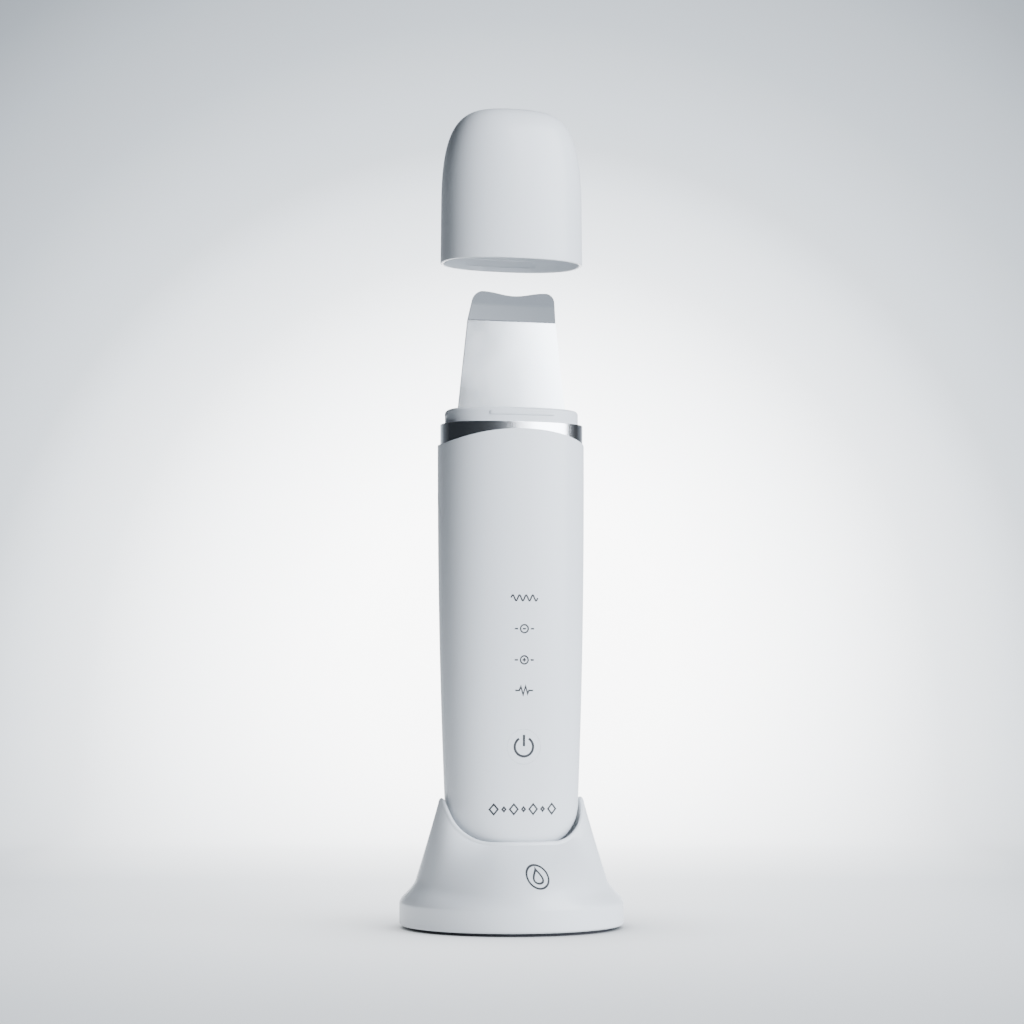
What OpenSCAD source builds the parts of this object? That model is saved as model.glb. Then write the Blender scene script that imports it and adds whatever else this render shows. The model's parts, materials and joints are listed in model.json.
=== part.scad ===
// Ultrasonic skin scrubber: a handset with a bent steel blade, a pull-off cap and a charging stand.
// The frame stands on the ground: +Z is up, the front with the button faces -Y, and the origin is
// at the centre of the stand's foot. Every length is in millimetres. The cap is drawn pulled off,
// held above the blade, and the handset is drawn standing in the stand.

/* [Handset] */
// Height of the handset's rounded bottom end above the ground
handset_z = 21.5; // [20:0.1:23]
// Half width of the covers at the shoulder
shoulder_half_w = 21.8; // [21.6:0.1:23]
// Half depth of the covers at the shoulder
shoulder_half_d = 13.9; // [13:0.1:15]
// How much the half width narrows from the shoulder to the bottom end
taper_w = 2.8; // [1.5:0.1:3]
// How much the half depth narrows from the shoulder to the bottom end
taper_d = 1.67; // [0.8:0.01:2]
// Height of the top of the covers' arched edge, at the middle of the front
arch_top_z = 144.8; // [143:0.1:146]
// Radius of that arch, seen from the front
arch_r = 61; // [50:1:90]
// Wall thickness of the covers
cover_wall = 1.8; // [1.4:0.1:2]
// Exponent of the oval cross-section: 2 is an ellipse and more is squarer
section_n = 2.4; // [2:0.1:3]

/* [Head] */
// Top of the bright metal band
band_top_z = 146.9; // [146.4:0.1:147.4]
// Half width of the metal band, and of the cap's rim that meets it
band_half_w = 21.25; // [20.5:0.05:21.4]
// Half depth of the metal band and of the cap's rim
band_half_d = 13.3; // [12.9:0.1:13.4]
// Top of the collar that the blade comes out of
collar_top_z = 151.2; // [150.6:0.1:151.6]
// Half width of the collar
collar_half_w = 19.85; // [19.2:0.05:19.95]
// Half depth of the collar
collar_half_d = 12.4; // [12:0.1:12.5]

/* [Blade] */
// Thickness of the blade
blade_t = 1; // [0.6:0.1:1.2]
// Width of the blade where it leaves the collar
blade_root_w = 32.8; // [28:0.1:33]
// Width of the blade at its bend
blade_bend_w = 27; // [24:0.1:28]
// Height of the bend
bend_z = 177.7; // [170:0.1:180]
// Angle of the bent tip, towards the front
bend_deg = 19; // [10:1:25]
// Height of the tip's two corners
tip_z = 186.2; // [185:0.1:188]

/* [Cap] */
// Height of the cap's rim as drawn, pulled off and held above the blade
cap_rim_z = 194.75; // [194:0.05:200]
// Height of the cap from its rim to its crown
cap_h = 46.1; // [45.5:0.1:49]
// Depth of the cap's rounded crown
crown_h = 30; // [24:1:34]

/* [Stand] */
// Radius of the stand's round foot
stand_r = 32.7; // [32.4:0.1:36]
// Height of the upright rim of the foot
rim_h = 7.4; // [6:0.1:8]
// Height of the low front and back of the stand's lip
lip_z = 25.3; // [25:0.1:27]
// Height of the two side horns
horn_z = 37.6; // [34:0.1:40]
// Gap between the handset and the pocket
pocket_gap = 0.8; // [0.6:0.1:1]

/* [Hidden] */

FACETS = 48;       // sides of an oval section
FIT = 0.05;        // air between two fixed curved faces
EPS = 0.01;

// Handset, worked out from the driving sizes
end_r = 12.5;                           // rounding of the bottom end, seen from the front
end_depth_r = 4;                        // and seen from the side
arch_centre_z = arch_top_z - arch_r;
body_span = 119;                        // height over which the covers taper
shoulder_z = 141;
lean = 1;                               // the widest line lies this far behind the middle at the shoulder
split_y = -1.6;                         // the covers meet in front of the widest line
split_top_z = 130;                      // the back cover ends below the shoulder
split_r = 14;                           // and its top edge turns backwards in a round corner
band_bottom_z = 139.5;
band_t = 1.1;
rebate_gap = 0.05;

// Power button and its switch
button_z = 52.6;
button_r = 5;
button_gap = 0.12;
button_flange_r = 5.9;
board_front_y = -7;
board_t = 1;
switch_front_y = -8.6;
plunger_front_y = -9.2;

// Marks above the button, each lit from behind
mode_z = [68.8, 77.6, 86.6, 95.5];

// Stand
floor_z = handset_z - 0.3;              // floor of the pocket
pocket_end_r = 10;
pin_x = 4;                              // the two charging pins are this far from the middle
contact_z = handset_z + 0.6;            // the handset's contacts are recessed
dock_z = 12.2;                          // underside of the charging board
inlet_half_h = 1.6;
inlet_z = dock_z - inlet_half_h;        // middle of the charging inlet, which hangs under that board
screw_angles = [30, 150, 270];
screw_ring_r = 25.5;

// ---------- shared shapes ----------

function spow(v, p) = sign(v) * pow(abs(v), p);

// One point of an oval of half width a and half depth b, at angle t
function oval(a, b, n, t) = [a * spow(cos(t), 2 / n), b * spow(sin(t), 2 / n)];

function angles() = [for (i = [0 : FACETS - 1]) i * 360 / FACETS];

function outline(a, b, n = section_n) = [for (t = angles()) oval(a, b, n, t)];

function ring(a, b, z, n = section_n) = [for (p = outline(a, b, n)) [p[0], p[1], z]];

// A closed solid through a list of rings, capped flat at its first and its last ring
module loft(rings) {
    n = len(rings[0]);
    last = len(rings) - 1;
    points = [for (r = rings) each r];
    sides = [for (k = [0 : last - 1], i = [0 : n - 1])
        let (j = (i + 1) % n, low = k * n, high = low + n)
        each [[low + i, high + i, high + j], [low + i, high + j, low + j]]];
    first_cap = [for (i = [0 : n - 1]) i];
    last_cap = [for (i = [n - 1 : -1 : 0]) last * n + i];
    polyhedron(points, concat([first_cap], sides, [last_cap]));
}

// A point between p and q
function mix(p, q, s) = p + (q - p) * s;

function unit(v) = v / norm(v);

// The frame of a thin lead at point k of its route: its direction and one side of it
function route_dir(route, k) =
    unit(route[min(k + 1, len(route) - 1)] - route[max(k - 1, 0)]);

// A round lead along a route; ref is a direction that the route never takes
module lead(route, d, ref = [1, 0, 0], sides = 8) {
    loft([for (k = [0 : len(route) - 1])
        let (w = route_dir(route, k), u = unit(cross(ref, w)), v = cross(w, u))
        [for (i = [0 : sides - 1]) let (t = i * 360 / sides)
            route[k] + d / 2 * (cos(t) * u + sin(t) * v)]]);
}

// A smooth lead through four guide points
function bezier(p, s) =
    pow(1 - s, 3) * p[0] + 3 * s * pow(1 - s, 2) * p[1]
    + 3 * s * s * (1 - s) * p[2] + pow(s, 3) * p[3];

function bezier_route(p, steps = 12) = [for (k = [0 : steps]) bezier(p, k / steps)];

// A round bar along Y, from y0 to y1
module bar_y(x, z, r, y0, y1) {
    translate([x, y0, z]) rotate([-90, 0, 0]) cylinder(r = r, h = y1 - y0, $fn = 48);
}

// A box given by its low and its high corner
module block(low, high) {
    translate(low) cube(high - low);
}

// An upright plate with round ends, along X: full width w, thickness t, from z0 to z1
module slot_bar(w, t, z0, z1) {
    translate([0, 0, z0]) linear_extrude(z1 - z0) union() {
        square([w - t, t], center = true);
        for (s = [-1, 1]) translate([s * (w - t) / 2, 0]) circle(d = t, $fn = 32);
    }
}

// A pan-head screw along Z, with its head below: shank radius r, head radius hr
module screw_up(r, length, hr, head_h) {
    difference() {
        union() {
            cylinder(r = r, h = length, $fn = 32);
            translate([0, 0, -head_h]) cylinder(r = hr, h = head_h, $fn = 32);
        }
        for (a = [0, 90]) rotate([0, 0, a])
            translate([-hr * 0.6, -0.15, -head_h - EPS]) cube([hr * 1.2, 0.3, head_h * 0.5]);
    }
}

// The same screw driven towards the front, with its head behind
module screw_front(x, y, z, r, length, hr, head_h) {
    translate([x, y, z]) rotate([90, 0, 0]) screw_up(r, length, hr, head_h);
}

// ---------- handset covers ----------

function taper(z) = pow(max(0, shoulder_z - z) / body_span, 2.2);

function body_half_w(z) = shoulder_half_w - taper_w * taper(z);

function body_half_d(z) = shoulder_half_d - taper_d * taper(z);

// Y of the covers' widest line at height z
function widest_y(z) = lean * (z - handset_z) / (shoulder_z - handset_z);

// One point of a section that is widest at y0 and reaches half_d to the front and to the back
function section_point(half_w, half_d, y0, t) =
    let (p = oval(half_w, 1, section_n, t))
    [p[0], y0 + p[1] * (p[1] < 0 ? half_d + y0 : half_d - y0)];

// How far a rounded end of radius r, starting at z0, pulls in at height z
function end_in(z, z0, r) = z >= z0 + r ? 0 : r - sqrt(max(0, r * r - pow(z0 + r - z, 2)));

// The outer section of the handset at height z, drawn in by a wall
function body_ring(z, wall = 0) =
    let (z0 = handset_z + wall,
         half_w = body_half_w(z) - wall - end_in(z, z0, end_r - wall),
         half_d = body_half_d(z) - wall - end_in(z, z0, end_depth_r - wall / 2))
    [for (t = angles()) let (p = section_point(half_w, half_d, widest_y(z), t)) [p[0], p[1], z]];

// Heights of a rounded end from z0 up, as even steps of its quarter circle
function end_heights(z0, r, steps) = [for (k = [0 : steps]) z0 + r * (1 - cos(k * 90 / steps))];

straight_heights = [42, 54, 66, 78, 90, 102, 114, 126];

module body_solid() {
    loft(concat(
        [for (z = end_heights(handset_z, end_r, 6)) body_ring(z)],
        [for (z = straight_heights) body_ring(z)],
        [body_ring(shoulder_z - 3), body_ring(arch_top_z + 1)]));
}

// Both covers in one: closed below, open above, with a rebate for the band inside the top edge
module body_shell() {
    inner_end = end_r - cover_wall;
    rebate_w = band_half_w + rebate_gap;
    rebate_d = band_half_d + rebate_gap;
    loft(concat(
        [for (z = end_heights(handset_z, end_r, 6)) body_ring(z)],
        [for (z = straight_heights) body_ring(z)],
        [body_ring(shoulder_z - 3), body_ring(arch_top_z + 1)],
        [ring(rebate_w, rebate_d, arch_top_z + 1), ring(rebate_w, rebate_d, band_bottom_z - FIT),
         body_ring(band_bottom_z - FIT, cover_wall)],
        [for (k = [len(straight_heights) - 1 : -1 : 0]) body_ring(straight_heights[k], cover_wall)],
        [for (k = [5 : -1 : 0])
            body_ring(end_heights(handset_z + cover_wall, inner_end, 5)[k], cover_wall)]));
}

// Everything under the arched top edge
module under_arch() {
    translate([0, 30, arch_centre_z]) rotate([90, 0, 0]) cylinder(r = arch_r, h = 60, $fn = 180);
}

// The space that the back cover takes, with its round top corner, grown by g all round
module back_space(g = 0) {
    corner_z = split_top_z - split_r;
    corner_y = split_y + split_r;
    rotate([90, 0, 90]) linear_extrude(60, center = true) union() {
        polygon([[split_y - g, 0], [40, 0], [40, split_top_z + g], [corner_y, split_top_z + g],
                 [split_y - g, corner_z]]);
        translate([corner_y, corner_z]) circle(r = split_r + g, $fn = 96);
    }
}

module front_cover() {
    color("#eceeee") difference() {
        union() {
            intersection() {
                body_shell();
                under_arch();
            }
            for (x = [-11.5, 11.5]) {
                bar_y(x, 42, 2.1, -10, board_front_y);
                bar_y(x, 97.5, 2.1, -10.6, board_front_y);
            }
        }
        back_space(FIT);
        bar_y(0, button_z, button_r + button_gap, -16, -9);
        for (x = [-11.5, 11.5], z = [42, 97.5]) bar_y(x, z, 0.8, -9.4, board_front_y + 1);
        for (x = [-pin_x, pin_x]) translate([x, 0, handset_z - 1])
            cylinder(r = 1.75, h = 4, $fn = 48);
    }
}

module back_cover() {
    color("#e8eaea") difference() {
        intersection() {
            body_shell();
            back_space();
        }
        for (x = [-pin_x, pin_x]) translate([x, 0, handset_z - 1])
            cylinder(r = 1.75, h = 4, $fn = 48);
    }
}

// ---------- head ----------

module metal_band() {
    color("#c9ccd0") difference() {
        translate([0, 0, band_bottom_z]) linear_extrude(band_top_z - band_bottom_z)
            polygon(outline(band_half_w, band_half_d));
        translate([0, 0, band_bottom_z - 1]) linear_extrude(band_top_z - band_bottom_z + 2)
            polygon(outline(band_half_w - band_t, band_half_d - band_t));
    }
}

// Snap ribs stand proud of the collar: long ones in front and behind, short ones at the sides
rib_z = 148.8;
rib_h = 1.3;
rib_proud = 0.35;

module snap_ribs() {
    intersection() {
        translate([0, 0, rib_z]) linear_extrude(rib_h) difference() {
            polygon(outline(collar_half_w + rib_proud, collar_half_d + rib_proud));
            polygon(outline(collar_half_w - 0.6, collar_half_d - 0.6));
        }
        union() {
            block([-10, -20, rib_z - 1], [10, 20, rib_z + 3]);
            block([-30, -1.5, rib_z - 1], [30, 1.5, rib_z + 3]);
        }
    }
}

module head_collar() {
    skirt_w = band_half_w - band_t - FIT;
    skirt_d = band_half_d - band_t - FIT;
    round_r = 1.1;
    color("#e6e8e9") difference() {
        union() {
            loft(concat(
                [ring(skirt_w - 1.6, skirt_d - 1.6, 148.8), ring(skirt_w - 1.6, skirt_d - 1.6, band_bottom_z),
                 ring(skirt_w, skirt_d, band_bottom_z), ring(skirt_w, skirt_d, band_top_z),
                 ring(collar_half_w, collar_half_d, band_top_z)],
                [for (k = [0 : 4]) let (pull = round_r * (1 - cos(k * 22.5)))
                    ring(collar_half_w - pull, collar_half_d - pull,
                         collar_top_z - round_r * (1 - sin(k * 22.5)))]));
            snap_ribs();
        }
        slot_bar(blade_root_w + 2.4, blade_t + 2.4, 148, collar_top_z + 1);
    }
}

module blade_seal() {
    color("#d8dadb") difference() {
        slot_bar(blade_root_w + 2.3, blade_t + 2.3, 146.8, collar_top_z - 0.3);
        block([-blade_root_w / 2 - 0.05, -blade_t / 2, 146], [blade_root_w / 2 + 0.05, blade_t / 2, 152]);
    }
}

// ---------- blade ----------

tang_half_w = 7;
tang_bottom_z = 121;
blade_wide_z = 140;
tip_corner_r = 3;
tip_half_w = 12.6;
tip_dip = 1.1;
bend_r = 1.2;

// A round corner of radius r about a centre, from angle a0 to a1, in the XZ plane
function arc(centre, r, a0, a1, steps) =
    [for (k = [0 : steps]) centre + r * [cos(a0 + (a1 - a0) * k / steps), sin(a0 + (a1 - a0) * k / steps)]];

// Right half of the blade seen from the front, from the tang up to the middle of the tip
half_front = concat(
    [[0, tang_bottom_z], [tang_half_w, tang_bottom_z], [tang_half_w, blade_wide_z - 6],
     [blade_root_w / 2, blade_wide_z], [blade_root_w / 2, collar_top_z],
     [blade_bend_w / 2, bend_z]],
    arc([tip_half_w - tip_corner_r, tip_z - tip_corner_r], tip_corner_r, 8, 100, 6),
    [for (k = [1 : 7]) let (s = k / 7)
        [(tip_half_w - tip_corner_r) * (1 - s), tip_z - tip_dip * (1 - cos(s * 180)) / 2]]);

module blade_front() {
    last = len(half_front) - 2;
    polygon(concat(half_front, [for (k = [last : -1 : 1]) [-half_front[k][0], half_front[k][1]]]));
}

// The blade seen from the side: a straight plate with a bent tip
module blade_side() {
    reach = 16;
    polygon(concat(
        [[-blade_t / 2, tang_bottom_z - 1], [blade_t / 2, tang_bottom_z - 1]],
        arc([-bend_r - blade_t / 2, bend_z], bend_r + blade_t, 0, bend_deg, 4),
        [[-bend_r - blade_t / 2, bend_z] + (bend_r + blade_t) * [cos(bend_deg), sin(bend_deg)]
            + reach * [-sin(bend_deg), cos(bend_deg)],
         [-bend_r - blade_t / 2, bend_z] + bend_r * [cos(bend_deg), sin(bend_deg)]
            + reach * [-sin(bend_deg), cos(bend_deg)]],
        arc([-bend_r - blade_t / 2, bend_z], bend_r, bend_deg, 0, 4)));
}

module blade() {
    color("#c4c7ca") difference() {
        intersection() {
            rotate([90, 0, 0]) linear_extrude(30, center = true) blade_front();
            rotate([90, 0, 90]) linear_extrude(60, center = true) blade_side();
        }
        for (x = [-4, 4]) bar_y(x, 127, 1, -3, 3);
    }
}

// ---------- ultrasonic transducer ----------

stack_r = 5.6;
bolt_r = 1.5;
horn_z0 = 109.2;

module transducer_horn() {
    color("#b9bcc0") difference() {
        union() {
            translate([0, 0, horn_z0]) cylinder(r = stack_r, h = 6, $fn = 64);
            translate([0, 0, horn_z0 + 6]) cylinder(r1 = stack_r, r2 = 4, h = 5, $fn = 64);
            block([-8, -3, horn_z0 + 9], [8, 3, 132]);
        }
        block([-tang_half_w, -blade_t / 2, tang_bottom_z], [tang_half_w, blade_t / 2, 133]);
        translate([0, 0, horn_z0 - 1]) cylinder(r = bolt_r, h = 9, $fn = 48);
        for (x = [-4, 4]) bar_y(x, 127, 1, -4, 4);
    }
}

module blade_screws() {
    color("#9a9da1") for (x = [-4, 4]) {
        bar_y(x, 127, 1, -3, 3);
        bar_y(x, 127, 1.9, 3, 4.2);
    }
}

module washer(z, h) {
    translate([0, 0, z]) difference() {
        cylinder(r = stack_r, h = h, $fn = 64);
        translate([0, 0, -1]) cylinder(r = 2.4, h = h + 2, $fn = 48);
    }
}

module piezo_rings() {
    color("#d7cfae") {
        washer(104, 2.3);
        washer(106.6, 2.3);
    }
}

module piezo_electrodes() {
    color("#d3a64f") for (e = [[106.3, 1], [108.9, -1]]) {
        washer(e[0], 0.3);
        block([e[1] * 7 - 1.6, -1, e[0]], [e[1] * 7 + 1.6, 1, e[0] + 0.3]);
    }
}

module back_mass() {
    color("#8f9398") difference() {
        translate([0, 0, 97.5]) cylinder(r = stack_r, h = 6.5, $fn = 64);
        translate([0, 0, 96]) cylinder(r = bolt_r, h = 9, $fn = 48);
    }
}

module clamp_bolt() {
    color("#74777c") difference() {
        union() {
            translate([0, 0, 95]) cylinder(r = 2.75, h = 2.5, $fn = 48);
            translate([0, 0, 97.5]) cylinder(r = bolt_r, h = 19, $fn = 48);
        }
        translate([0, 0, 94]) cylinder(r = 1.4, h = 2.4, $fn = 6);
    }
}

module transducer_mount() {
    z0 = 110.5;
    inset = cover_wall + 0.2;
    color("#4b4f55") difference() {
        translate([0, 0, z0]) linear_extrude(4.5) polygon([for (t = angles())
            section_point(body_half_w(z0) - inset, body_half_d(z0) - inset, widest_y(z0), t)]);
        translate([0, 0, z0 - 1]) cylinder(r = stack_r, h = 7, $fn = 64);
    }
}

// ---------- electronics ----------

board_back_y = board_front_y + board_t;
board_mid_y = board_front_y + board_t / 2;

module main_board() {
    color("#1f6b45") difference() {
        block([-14, board_front_y, 37], [14, board_back_y, 100.5]);
        for (x = [-11.5, 11.5], z = [42, 97.5]) bar_y(x, z, 0.8, -9, -4);
    }
}

module mode_leds() {
    color("#f2efe2") for (z = mode_z)
        block([-0.8, board_front_y - 0.6, z - 0.4], [0.8, board_front_y, z + 0.4]);
}

module light_guide() {
    color("#dfe6ea") {
        block([-2.6, -9.2, 61.6], [2.6, -8, 100]);
        for (z = mode_z) block([-3.5, -11.3, z - 1.4], [3.5, -9.2, z + 1.4]);
        for (z = [63, 98.8]) bar_y(0, z, 0.9, -8, board_front_y);
    }
}

module tact_switch() {
    color("#2d2f33") difference() {
        block([-3, switch_front_y, button_z - 3], [3, board_front_y, button_z + 3]);
        bar_y(0, button_z, 1.6, switch_front_y - 1, switch_front_y + 1.1);
    }
}

// A chip body lying on the back of the board, with a row of legs along two sides
module chip(x, z, w, h, legs) {
    block([x - w / 2, board_back_y, z - h / 2], [x + w / 2, board_back_y + 0.9, z + h / 2]);
    for (s = [-1, 1], k = [0 : legs - 1]) {
        leg_z = z - h / 2 + (k + 0.5) * h / legs;
        low_x = s > 0 ? x + w / 2 : x - w / 2 - 0.8;
        block([low_x, board_back_y, leg_z - 0.15], [low_x + 0.8, board_back_y + 0.3, leg_z + 0.15]);
    }
}

module control_chip() {
    color("#26282b") chip(-4, 90, 4.4, 6, 8);
}

module charge_chip() {
    color("#26282b") chip(8.5, 93.5, 3, 3, 4);
}

module driver_transistors() {
    color("#303236") for (x = [-11.5, 11.5]) {
        block([x - 1.5, board_back_y, 86], [x + 1.5, board_back_y + 1.1, 90]);
        block([x - 0.5, board_back_y, 85], [x + 0.5, board_back_y + 0.3, 86]);
    }
}

module drive_transformer() {
    color("#5b4a36") {
        block([-1, board_back_y, 85.2], [6, board_back_y + 5.4, 94]);
        block([0.4, board_back_y + 5.4, 86.6], [4.6, board_back_y + 6.6, 92.6]);
    }
}

module filter_capacitor() {
    color("#3a3f6b") translate([-10.7, board_back_y + 3.15, 90.2]) difference() {
        cylinder(r = 3.15, h = 5.5, $fn = 48);
        translate([0, 0, 5.1]) difference() {
            cylinder(r = 2.7, h = 1, $fn = 48);
            translate([0, 0, -1]) cylinder(r = 1.2, h = 3, $fn = 48);
        }
    }
}

module battery_socket() {
    color("#e9e6da") difference() {
        block([-9.6, board_back_y, 78.6], [-4.4, board_back_y + 0.9, 83]);
        block([-8.8, board_back_y + 0.3, 78], [-5.2, board_back_y + 0.7, 81.6]);
    }
}

frame_y = -4.9;
battery_y = -3.9;
battery_low = [-13, battery_y, 36];
battery_high = [13, battery_y + 7.6, 80];

module battery() {
    round_r = 2.4;
    color("#4a74a8") translate([0, 0, battery_low[2]]) linear_extrude(battery_high[2] - battery_low[2])
        translate([0, (battery_low[1] + battery_high[1]) / 2]) union() {
            square([26, 7.6 - 2 * round_r], center = true);
            square([26 - 2 * round_r, 7.6], center = true);
            for (x = [-1, 1], y = [-1, 1])
                translate([x * (13 - round_r), y * (3.8 - round_r)]) circle(r = round_r, $fn = 32);
        }
}

// A moulded tray behind the board that carries the battery
module inner_frame() {
    color("#c2c5c8") difference() {
        union() {
            block([-14.6, frame_y, 34.8], [14.6, battery_y, 84]);
            for (x = [-14.6, 13.2]) block([x, battery_y, 40], [x + 1.4, battery_y + 5, 76]);
            block([-10, battery_y, 34.8], [10, battery_y + 6, 35.9]);
            block([-10, battery_y, 80.1], [10, battery_y + 6, 81.2]);
            for (x = [-11.5, 11.5]) bar_y(x, 42, 2, board_back_y, frame_y);
        }
        for (x = [-11.5, 11.5]) bar_y(x, 42, 0.8, board_back_y - 1, battery_y + 1);
        for (x = [-11.5, 11.5]) bar_y(x, 42, 1.65, battery_y - 0.7, battery_y + 1);
        block([-10.4, frame_y - 1, 77.4], [-3.6, battery_y - 0.4, 85]);
        block([-8.6, -1.5, 79], [-5.4, 0.5, 82]);
    }
}

module board_screws() {
    color("#7b7e83") for (x = [-11.5, 11.5]) {
        screw_front(x, battery_y - 0.7, 42, 0.8, 4.6, 1.6, 0.65);
        screw_front(x, board_back_y, 97.5, 0.8, 3, 1.6, 0.9);
    }
}

module charge_contacts() {
    color("#d9b25a") for (x = [-pin_x, pin_x]) translate([x, 0, contact_z]) {
        cylinder(r = 1.7, h = handset_z + cover_wall - contact_z, $fn = 48);
        translate([0, 0, handset_z + cover_wall - contact_z]) cylinder(r = 2, h = 0.6, $fn = 48);
        translate([0, 0, handset_z + cover_wall - contact_z + 0.6]) cylinder(r = 0.6, h = 2, $fn = 32);
    }
}

lead_d = 0.9;

module contact_leads() {
    top = handset_z + cover_wall + 2.6;
    color("#b03a34") for (x = [-pin_x, pin_x])
        lead(bezier_route([[x, 0, top], [x, 0, top + 6], [x * 1.5, board_mid_y, top + 5],
                           [x * 1.5, board_mid_y, 37 - 2 * EPS]]), lead_d);
}

module battery_leads() {
    color("#b03a34") for (x = [-7.6, -6.4])
        lead(bezier_route([[x, -0.5, 80 + EPS], [x, -0.5, 84.5], [x, -2.5, 86.4],
                           [x, board_back_y + 2 * EPS, 86.4]]), 0.8);
}

module piezo_leads() {
    color("#d9dcdf") {
        lead(bezier_route([[8, 0, 106.3], [8, 0, 101], [7.5, -3, 99], [7.5, board_back_y, 99]]), lead_d);
        lead(bezier_route([[-8, 0, 108.9], [-8, 0, 104], [-6.6, -3, 99], [-6.6, board_back_y, 99]]), lead_d);
    }
}

// ---------- power button ----------

module power_button() {
    color("#eceeee") {
        intersection() {
            body_solid();
            bar_y(0, button_z, button_r, -16, -10.4);
        }
        difference() {
            bar_y(0, button_z, button_flange_r, -10.8, -10.1);
            bar_y(0, button_z, button_r - 0.5, -11.8, -10.4);
        }
        bar_y(0, button_z, 1.4, -10.4, plunger_front_y);
    }
}

module switch_plunger() {
    color("#3b3d42") bar_y(0, button_z, 1.5, plunger_front_y, switch_front_y + 0.4);
}

// ---------- cap ----------

cap_wall = 1.3;
cap_draft = 0.018;         // the cap narrows by this share from its rim to its crown
cap_mouth_w = 20.3;       // half width inside the mouth, clear of the collar's ribs
cap_mouth_d = 12.85;
crown_steps = 14;

// Share of the full width left at depth d below the crown
function crown(d, h) = pow(1 - pow(max(0, 1 - d / h), 2.7), 1 / 4.5);

function cap_ring(d, top_z, half_w, half_d, h, total) =
    let (k = crown(d, h) * (1 - cap_draft * (1 - d / total)))
    ring(half_w * k, half_d * k, top_z - d);

// Depths below the crown, closely spaced where it is flattest
function crown_depths(h) = [for (k = [0 : crown_steps]) h * (1 - pow(cos(2 + 88 * k / crown_steps), 0.8))];

module cap_shell() {
    top = cap_rim_z + cap_h;
    in_h = crown_h - cap_wall;
    in_w = band_half_w - cap_wall;
    in_d = band_half_d - cap_wall;
    mouth_z = cap_rim_z + 6;
    loft(concat(
        [for (d = crown_depths(in_h)) cap_ring(d, top - cap_wall, in_w, in_d, in_h, cap_h - cap_wall)],
        [ring(in_w, in_d, mouth_z + 1), ring(cap_mouth_w, cap_mouth_d, mouth_z),
         ring(cap_mouth_w, cap_mouth_d, cap_rim_z + 0.2),
         ring(cap_mouth_w + 0.15, cap_mouth_d + 0.15, cap_rim_z),
         ring(band_half_w - 0.2, band_half_d - 0.2, cap_rim_z),
         ring(band_half_w, band_half_d, cap_rim_z + 0.25)],
        [for (k = [crown_steps : -1 : 0])
            cap_ring(crown_depths(crown_h)[k], top, band_half_w, band_half_d, crown_h, cap_h)]));
}

// Shallow grooves inside the mouth, which the collar's ribs snap into
module cap_grooves() {
    z0 = cap_rim_z + rib_z - band_top_z - 0.2;
    intersection() {
        translate([0, 0, z0]) linear_extrude(rib_h + 0.5)
            polygon(outline(cap_mouth_w + 0.35, cap_mouth_d + 0.35));
        union() {
            block([-10.3, -20, z0 - 1], [10.3, 20, z0 + 4]);
            block([-30, -1.8, z0 - 1], [30, 1.8, z0 + 4]);
        }
    }
}

module cap() {
    color("#eceeee") difference() {
        cap_shell();
        cap_grooves();
    }
}

// ---------- stand ----------

// The pocket follows the handset a little way off, with a tighter corner at its floor
function pocket_point(t, z) =
    section_point(body_half_w(z) + pocket_gap - end_in(z, floor_z, pocket_end_r),
                  body_half_d(z) + pocket_gap - end_in(z, floor_z, end_depth_r), widest_y(z), t);

lip_reach = 11.8;          // the horns run this far towards the front and the back
lip_t = 1.2;               // thickness of the lip
lip_round = 0.9;           // depth of the rounding on its edge

function lip_height(y) = lip_z + (horn_z - lip_z) * pow(cos(90 * min(1, abs(y) / lip_reach)), 2);

// The top edge of the pocket at angle t
function lip_point(t) =
    let (p = pocket_point(t, lip_z), z = lip_height(p[1]), q = pocket_point(t, z))
    [q[0], q[1], z];

// Share of the foot's radius left at share s of the way up: a round shoulder under straight horns
// at the sides, and a dome in front and behind
function side_share(s) = 0.74 * (1 - s) + 0.26 * pow(cos(90 * min(1, s / 0.25)), 2);

function front_share(s) = 1 - 0.25 * s - 0.75 * pow(s, 2.2);

// Outside of the flare at angle t, from the foot's rim at s = 0 to the lip at s = 1
function flare_point(t, s) =
    let (e = lip_point(t),
         out = lip_t * [cos(t), sin(t)],
         g = mix(side_share(s), front_share(s), pow(sin(t), 2)))
    [mix(e[0] + out[0], stand_r * cos(t), g), mix(e[1] + out[1], stand_r * sin(t), g),
     mix(rim_h, e[2] - lip_round, s)];

function circle_ring(r, z) = ring(r, r, z, 2);

// Inside of the pocket, from its floor at s = 0 to the lip at s = 1
function pocket_ring(s) = [for (t = angles())
    let (z = mix(floor_z, lip_point(t)[2], s), p = pocket_point(t, z)) [p[0], p[1], z]];

function lip_top_ring() = [for (t = angles())
    let (e = lip_point(t)) [e[0] + lip_t * 0.5 * cos(t), e[1] + lip_t * 0.5 * sin(t), e[2] + 0.1]];

foot_z = 0.9;              // the rim clears the ground, standing on the rubber foot
plate_r = 30.2;

module stand_body() {
    loft(concat(
        [ring(17, 13, floor_z - 2.2), ring(23, 20, 17), ring(26, 24.5, 14.5, 2.2),
         ring(28, 27.5, 12, 2), circle_ring(29.5, 9), circle_ring(plate_r + 0.1, 6),
         circle_ring(plate_r + 0.1, foot_z),
         circle_ring(stand_r - 0.7, foot_z), circle_ring(stand_r - 0.2, foot_z + 0.2),
         circle_ring(stand_r, foot_z + 0.7), circle_ring(stand_r, rim_h - 0.5)],
        [for (s = [0, 0.03, 0.07, 0.11, 0.16, 0.21, 0.27, 0.36, 0.46, 0.56, 0.66, 0.76, 0.85, 0.93, 1])
            [for (t = angles()) flare_point(t, s)]],
        [lip_top_ring()],
        [for (s = [1, 0.75, 0.5, 0.36, 0.24, 0.14, 0.06, 0]) pocket_ring(s)]));
}

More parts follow.
